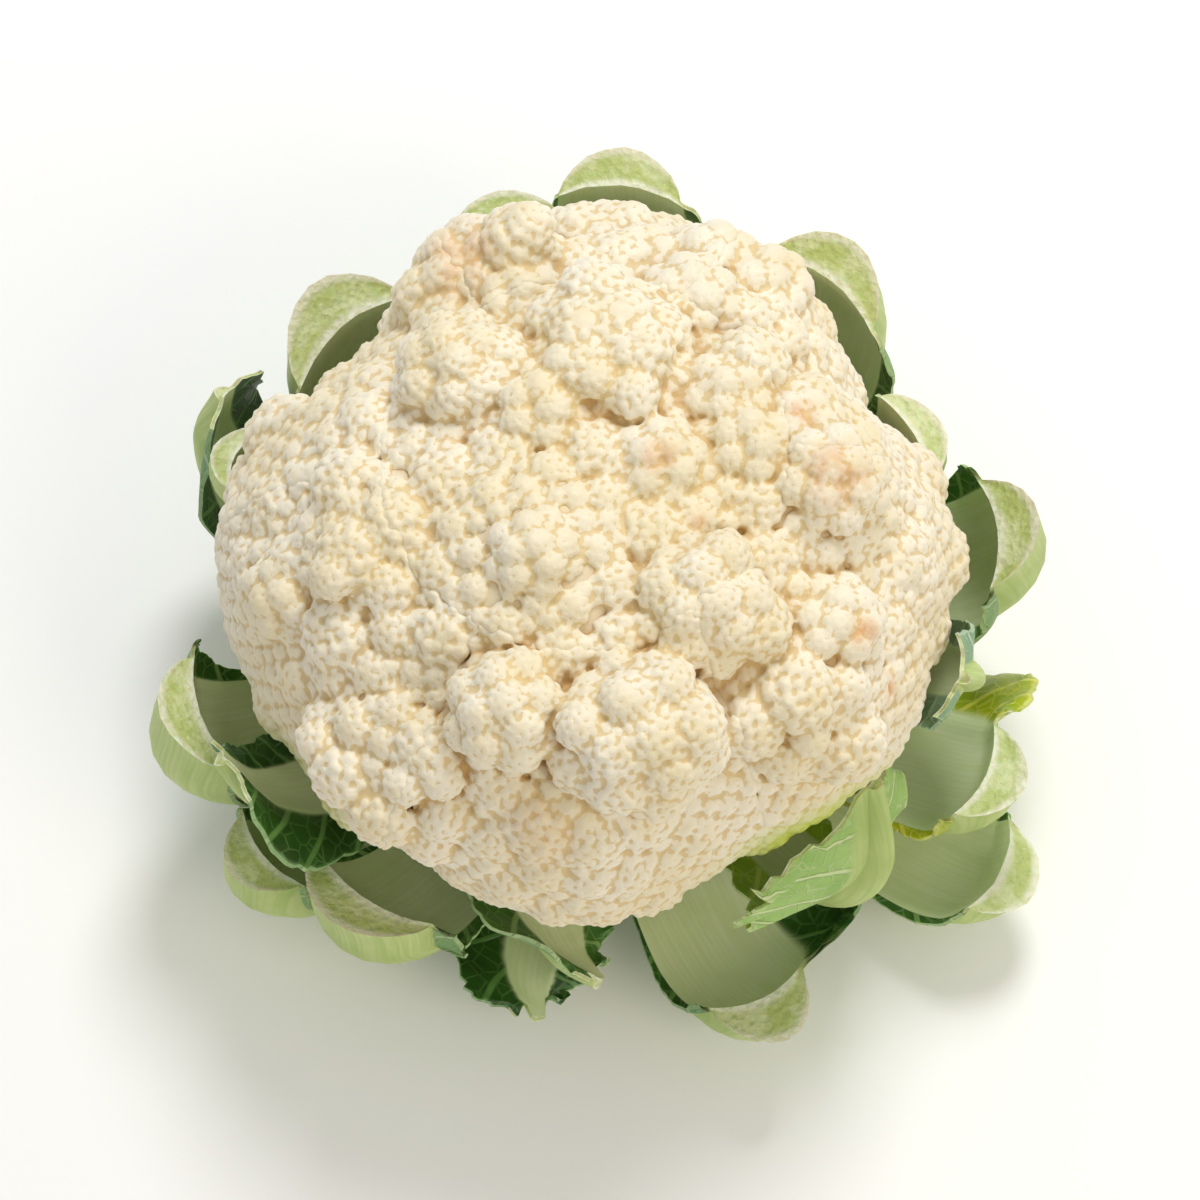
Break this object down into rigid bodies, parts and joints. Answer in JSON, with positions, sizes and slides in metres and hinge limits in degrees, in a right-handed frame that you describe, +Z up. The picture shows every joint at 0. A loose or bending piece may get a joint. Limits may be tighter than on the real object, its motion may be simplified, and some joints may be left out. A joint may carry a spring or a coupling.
{
  "type": "cauliflower",
  "caption": "Trimmed cauliflower head: a knobbly cream curd of fused florets in a collar of cut leaf ribs and blades, standing on its cut stalk.",
  "frame": {"origin": "centre of the stalk's cut face, which the head stands on", "axes": "+Z up through the curd, -Y towards the side with the light green curled leaf"},
  "size_m": [0.2095, 0.2085, 0.1453],
  "materials": {
    "curd": "matt, finely granular",
    "stalk": "matt, moist cut end",
    "leaf": "satin, waxy"
  },
  "bodies": {
    "root": {"curd": "curd", "stalk": "stalk", "leaf_right_inner": "leaf", "leaf_back_right": "leaf", "leaf_back": "leaf", "leaf_back_inner": "leaf", "leaf_back_left": "leaf", "leaf_left_inner": "leaf", "leaf_left_dark": "leaf", "leaf_left": "leaf", "leaf_front_left_dark": "leaf", "leaf_front_left_low": "leaf", "leaf_front_left": "leaf", "leaf_front_dark": "leaf", "leaf_front_inner": "leaf", "leaf_front_right": "leaf", "leaf_front_light": "leaf", "leaf_right_low": "leaf", "leaf_right_front": "leaf", "leaf_right_grey": "leaf", "leaf_right": "leaf"}
  },
  "joints": []
}
